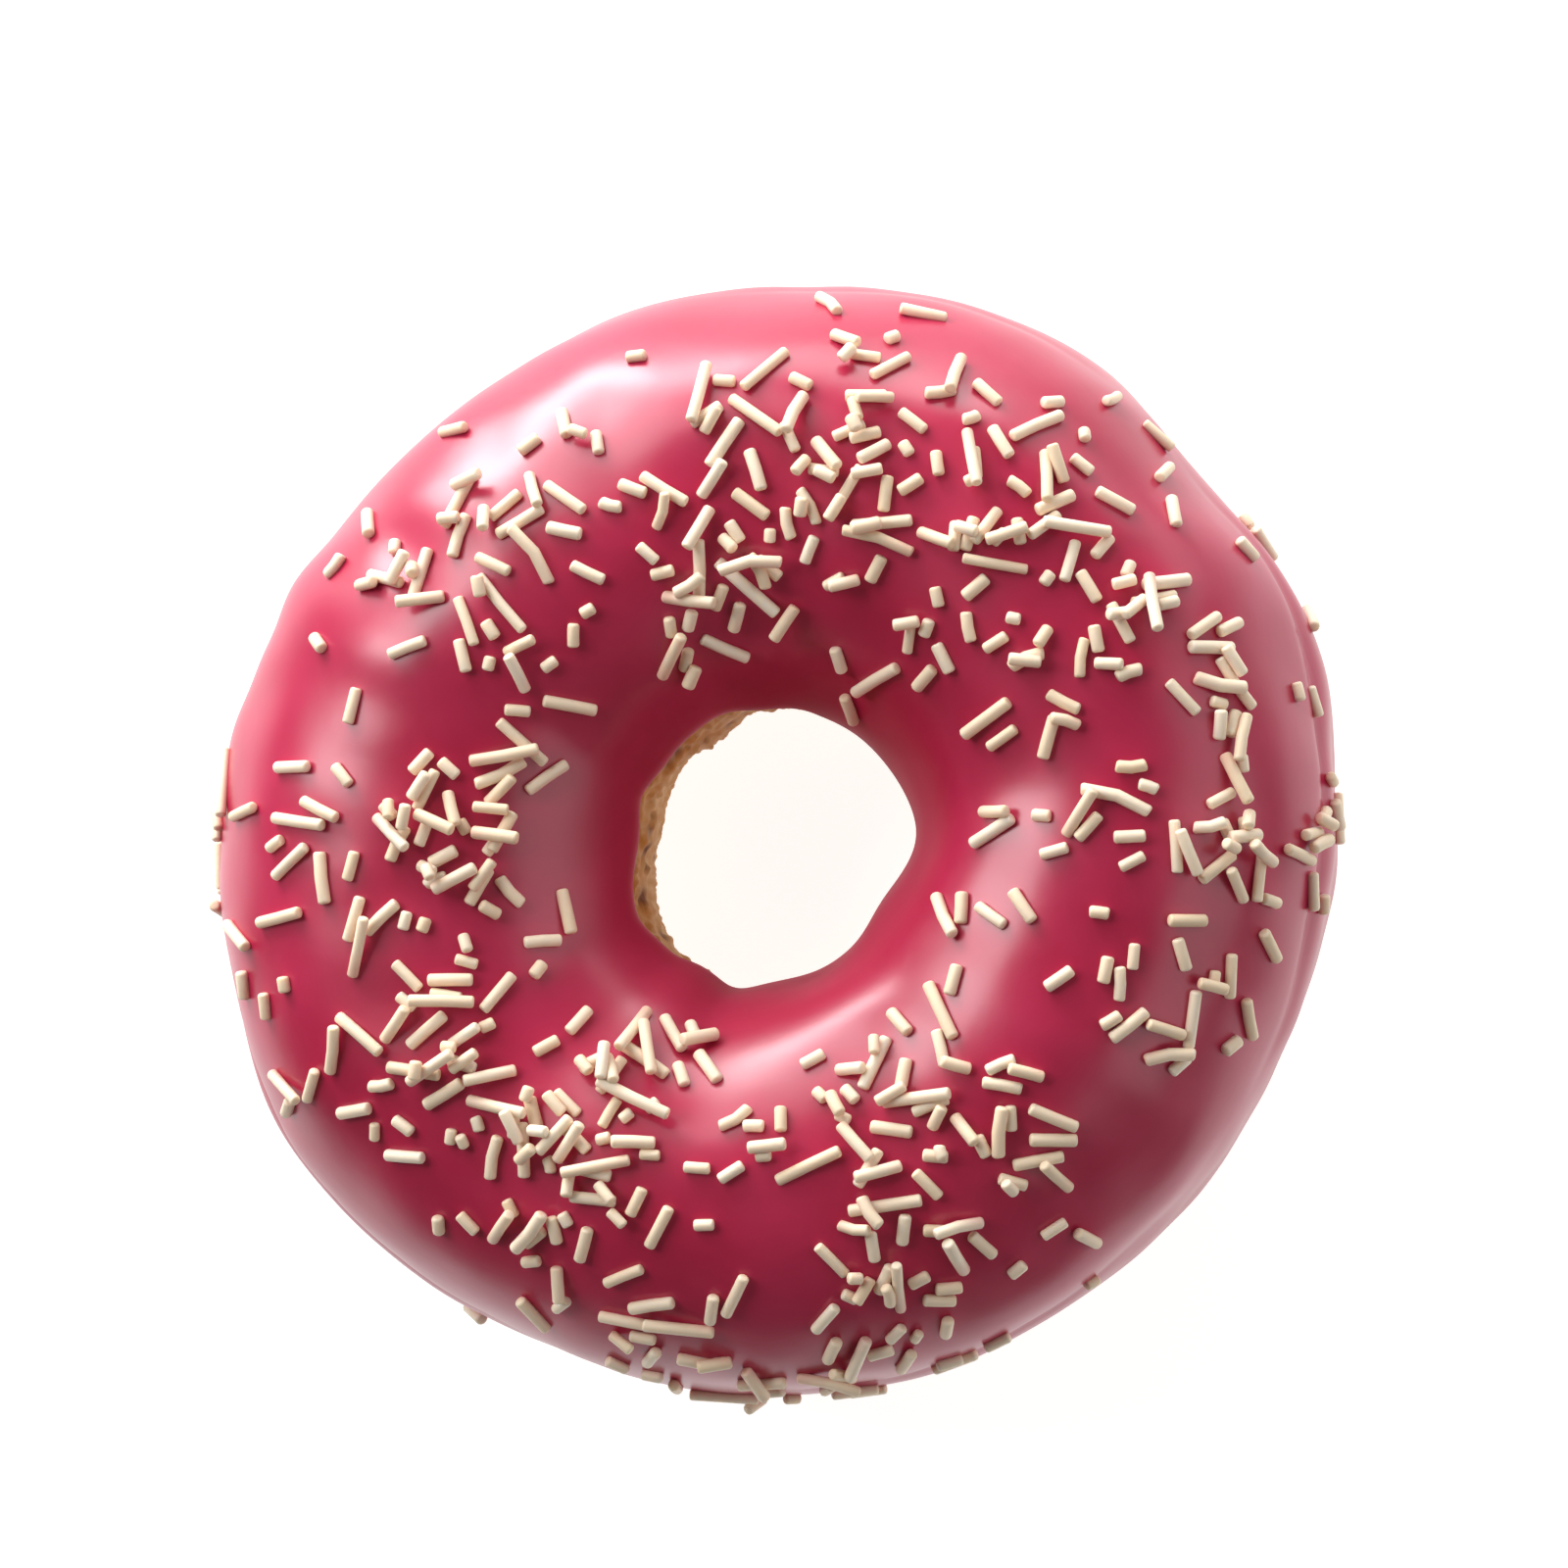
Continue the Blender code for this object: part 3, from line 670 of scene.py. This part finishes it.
def sugarStrand():
    # Pressed sugar and starch paste, cut and dried: cream, dull with a faint satin, a little uneven from
    # one strand to the next
    finish = {
        "stops": ((0.0, "#edd6b6"), (0.5, "#f4dfc4"), (1.0, "#f9e9d3")),
        "stainAndBounceColour": "#d98f86",   # the icing's colour soaked up from underneath, and painted pink light bounced up from the icing
        "stainAndBounce": 0.50,
        "roughness": 0.55,
        "scatter": 0.35,
        "scatterRadius": 0.0006,        # metres, and its shares for red, green and blue
        "scatterShares": (1.0, 0.8, 0.5),
        "grainSize": 0.30,      # mm, of the pressed sugar, drawn twice as coarse as it is so that it shows
        "grainDepth": 0.00002,
    }
    made, tree = newMaterial("sugarStrand")
    place = addNode(tree, "ShaderNodeTexCoord", {}).outputs["Object"]
    tone = addNode(tree, "ShaderNodeAttribute", {}, attribute_name="tone")
    colour = addNode(tree, "ShaderNodeValToRGB", {"Fac": tone.outputs["Fac"]}, finish["stops"])
    # the pink at each strand's foot: the icing's colour soaked up, and painted light bounced up from the
    # icing
    stainAndBounce = addNode(tree, "ShaderNodeAttribute", {}, attribute_name="stainAndBounce")
    share = addNode(tree, "ShaderNodeMath", {
        0: stainAndBounce.outputs["Fac"], 1: finish["stainAndBounce"]}, operation="MULTIPLY")
    mixed = addNode(tree, "ShaderNodeMix", {
        "Factor": share.outputs[0], 6: colour.outputs["Color"], 7: (*linear(finish["stainAndBounceColour"]), 1)},
        data_type="RGBA")
    grain = addNode(tree, "ShaderNodeTexNoise", {
        "Vector": place, "Scale": 1000 / finish["grainSize"], "Detail": 3.0, "Roughness": 0.6})
    bump = addNode(tree, "ShaderNodeBump", {
        "Height": grain.outputs["Fac"], "Distance": finish["grainDepth"], "Strength": 1.0})
    shader = addNode(tree, "ShaderNodeBsdfPrincipled", {
        "Base Color": mixed.outputs[2], "Normal": bump.outputs["Normal"],
        "Roughness": finish["roughness"], "Subsurface Weight": finish["scatter"],
        "Subsurface Radius": finish["scatterShares"], "Subsurface Scale": finish["scatterRadius"]})
    addNode(tree, "ShaderNodeOutputMaterial", {"Surface": shader.outputs[0]})
    return made


def tubeFaces(count, stations, sides):
    # quads between a tube's stations: point (tube, s, k) is number (tube * stations + s) * sides + k
    s, k = np.meshgrid(np.arange(stations - 1), np.arange(sides), indexing="ij")
    n = (k + 1) % sides
    quads = np.stack([s * sides + k, s * sides + n, (s + 1) * sides + n, (s + 1) * sides + k], axis=-1)
    return (np.arange(count)[:, None, None] * stations * sides + quads.reshape(-1, 4)[None]).reshape(-1, 4)


def strandRuns(length, radius):
    # stations from one end to the other: the end's middle, its rim by a quarter circle, along the body,
    # and back; each has a place along the strand and a radius
    turn = np.linspace(0, math.pi / 2, strands["endRings"])
    rim = strands["endRound"]
    endRadius = np.concatenate([[0.0], 1 - rim + rim * np.sin(turn)])
    endInset = np.concatenate([[0.0], rim * (1 - np.cos(turn))])
    first = -length[:, None] / 2 + endInset[None, :] * radius[:, None]
    rings = strands["bodyRings"]
    body = np.linspace(-0.5, 0.5, rings)[None, :] * (length[:, None] - 2 * rim * radius[:, None])
    run = np.concatenate([first, body, -first[:, ::-1]], axis=1)
    profile = np.concatenate([endRadius, np.ones(rings), endRadius[::-1]])
    return run, profile[None, :] * radius[:, None]


def strandPoints(middle, direction, normal, length, radius, bend):
    # point = middle + direction * run + side * bend * (1/2 - share^2) + profile * (cos v across + sin v up)
    up = normal - (normal * direction).sum(1, keepdims=True) * direction
    up /= np.linalg.norm(up, axis=1, keepdims=True)
    side = np.cross(direction, up)
    run, profile = strandRuns(length, radius)
    half = length[:, None] / 2
    share = run / half
    offset = bend[:, None] * (0.5 - share**2)
    slope = -2 * bend[:, None] * share / half
    line = middle[:, None] + direction[:, None] * run[..., None] + side[:, None] * offset[..., None]
    tangent = direction[:, None] + side[:, None] * slope[..., None]
    tangent /= np.linalg.norm(tangent, axis=-1, keepdims=True)
    across = np.cross(tangent, np.broadcast_to(up[:, None], tangent.shape))
    v = np.arange(strands["sides"]) * 2 * math.pi / strands["sides"]
    circle = across[:, :, None] * np.cos(v)[:, None] + up[:, None, None] * np.sin(v)[:, None]
    return line[:, :, None] + circle * profile[:, :, None, None]


def makeStrands():
    # all of them in one piece, each with a thickness, a bend and a tone of its own; the pink at their feet,
    # the icing's colour soaked up and painted light bounced up from the icing, is
    # 1 - smooth(height over the strand's underside), from 0 to so many radii
    laid = layStrands()
    draw = np.random.RandomState(strands["looksSeed"])
    count, sides = len(laid), strands["sides"]
    keys = ("middle", "direction", "normal", "length", "theta", "phi")
    middle, direction, normal, length, theta, phi = [np.array([one[key] for one in laid]) for key in keys]
    middle = middle + normal * icingRelief(theta, phi)[:, None]
    radius = draw.normal(1, strands["thickness"], count)
    radius = strands["radius"] * np.clip(radius, *strands["thicknessLimits"])
    bent = draw.uniform(size=count) < strands["bentShare"]
    bend = np.where(bent, draw.uniform(-1, 1, count), strands["slightBend"] * draw.normal(size=count))
    bend = bend * strands["mostBend"] * length
    points = strandPoints(middle, direction, normal, length, radius, bend)
    stations = points.shape[1]
    tone = np.repeat(np.clip(draw.normal(*strands["tone"], count), 0, 1), stations * sides)
    # the stain and painted bounce light, strongest at the strand's underside
    under = (middle - normal * radius[:, None])[:, None, None]
    over = ((points - under) @ normal[:, None, :, None])[..., 0]
    stainAndBounce = 1 - smooth(over, 0, strands["stainAndBounceReach"] * radius[:, None, None])
    piece = meshPiece(
        "sugar_strands", points.reshape(-1, 3), tubeFaces(count, stations, sides), sugarStrand(),
        [("tone", tone), ("stainAndBounce", stainAndBounce)],
    )
    weld(piece)
    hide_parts("icing")
    print("strands laid:", count)
    return piece


def weld(piece, reach=1e-7):
    # merges the points that lie on one spot, at the ends' middles
    work = bmesh.new()
    work.from_mesh(piece.data)
    bmesh.ops.remove_doubles(work, verts=work.verts, dist=reach)
    work.to_mesh(piece.data)
    work.free()


makeStrands()

# Floor, light and camera
stage = {
    "floorSize": 3.0,           # metres
    "floorRoughness": 0.6,
    "floorColour": "#b4b3b1",
    "shadowLiftColour": "#ffffff",    # painted light: the floor glows round the ring and fades out, so that its shadow stays pale
    "shadowLiftGlow": 0.88,
    "shadowLiftReach": (0.09, 0.20),  # metres from the ring's axis over which the glow fades out
    "skyColour": "#ffffff",
    "sky": 0.10,
    "aim": (0, 0, 0.016),       # what the lamps are turned to
    # lamps: name, direction and height in degrees, distance and sides in metres, watts
    "lamps": (
        ("windowBox", 107, 14, 0.70, (1.00, 0.34), 5.0),
        ("windowCore", 123, 12, 0.68, (0.38, 0.18), 2.9),
        ("windowEnd", 50, 12, 0.70, (0.50, 0.36), 0.8),
        ("tallBox", 122, 41, 0.90, (0.40, 0.48), 2.4),
        ("sideBox", 160, 43, 0.90, (0.28, 0.52), 3.4),
        ("fillBox", 353, 33, 0.90, (1.04, 0.73), 2.4),
    ),
}


def makeFloor():
    # a plain square at the level that the ring rests on, glowing round the ring as painted light that lifts
    # its shadow; glow = most * (1 - smooth(distance))
    made, tree = newMaterial("paleFloor")
    place = addNode(tree, "ShaderNodeTexCoord", {}).outputs["Object"]
    away = addNode(tree, "ShaderNodeVectorMath", {0: place}, operation="LENGTH")
    # painted light: the glow round the ring lifts its shadow on the floor and in the hole
    shadowLift = addNode(tree, "ShaderNodeMapRange", {
        "Value": away.outputs["Value"], 1: stage["shadowLiftReach"][0], 2: stage["shadowLiftReach"][1],
        3: stage["shadowLiftGlow"], 4: 0.0}, interpolation_type="SMOOTHSTEP")
    shader = addNode(tree, "ShaderNodeBsdfPrincipled", {
        "Base Color": (*linear(stage["floorColour"]), 1), "Roughness": stage["floorRoughness"],
        "Emission Color": (*linear(stage["shadowLiftColour"]), 1), "Emission Strength": shadowLift.outputs[0]})
    addNode(tree, "ShaderNodeOutputMaterial", {"Surface": shader.outputs[0]})
    half = stage["floorSize"] / 2
    corners = [(x * half, y * half, 0) for x, y in ((-1, -1), (1, -1), (1, 1), (-1, 1))]
    mesh = bpy.data.meshes.new("floor")
    mesh.from_pydata(corners, [], [(0, 1, 2, 3)])
    mesh.materials.append(made)
    floor = bpy.data.objects.new("floor", mesh)
    bpy.context.scene.collection.objects.link(floor)


def makeLight():
    # place = distance * (cos h cos d, cos h sin d, sin h), each lamp with its -Z axis towards the ring
    world = bpy.data.worlds.new("studio")
    world.use_nodes = True
    background = world.node_tree.nodes["Background"]
    background.inputs["Color"].default_value = (*linear(stage["skyColour"]), 1)
    background.inputs["Strength"].default_value = stage["sky"]
    bpy.context.scene.world = world
    for name, direction, height, distance, (width, tall), watts in stage["lamps"]:
        lamp = bpy.data.lights.new(name, "AREA")
        lamp.shape = "RECTANGLE"
        lamp.size, lamp.size_y, lamp.energy = width, tall, watts
        lampObject = bpy.data.objects.new(name, lamp)
        bpy.context.scene.collection.objects.link(lampObject)
        d, h = math.radians(direction), math.radians(height)
        place = Vector((math.cos(h) * math.cos(d), math.cos(h) * math.sin(d), math.sin(h))) * distance
        lampObject.location = place
        lampObject.rotation_mode = "QUATERNION"
        lampObject.rotation_quaternion = (Vector(stage["aim"]) - place).to_track_quat("-Z", "Y")


# The camera of the photo: it looks down, leaning a little towards the right of the picture
view = {
    "lean": 9,                  # degrees from straight down
    "towards": -10,             # direction that it leans towards
    "distance": 0.5,
    "middle": (790, 861),       # where the ring's middle is in the 1600 pixel frame
    "frame": 1600,
    "pixelsPerMm": 12.7,
    "level": 16,                # mm, the height at which that scale holds
    "sensor": 36,
}


def makeCamera():
    # target = the ring's middle + right * dx + up * dy, with dx and dy the frame's offset at the scale
    lean, towards = math.radians(view["lean"]), math.radians(view["towards"])
    flat = math.sin(lean)
    back = np.array([flat * math.cos(towards), flat * math.sin(towards), math.cos(lean)])
    up = np.array([0, 1.0, 0]) - back[1] * back
    up /= np.linalg.norm(up)
    right = np.cross(up, back)
    half = view["frame"] / 2
    scale = 1 / (view["pixelsPerMm"] * 1000)
    column, row = view["middle"]
    target = np.array([0, 0, view["level"] / 1000]) + (right * (half - column) + up * (row - half)) * scale
    camera = bpy.data.cameras.new("photoCamera")
    camera.sensor_width = view["sensor"]
    camera.lens = view["sensor"] * view["distance"] / (view["frame"] * scale)
    made = bpy.data.objects.new("photoCamera", camera)
    bpy.context.scene.collection.objects.link(made)
    turned = Matrix(np.stack([right, up, back], axis=1).tolist()).to_4x4()
    turned.translation = (target + back * view["distance"]).tolist()
    made.matrix_world = turned
    bpy.context.scene.camera = made


makeFloor()
makeLight()
makeCamera()
bpy.context.scene.view_settings.view_transform = "Standard"
print("stage set")
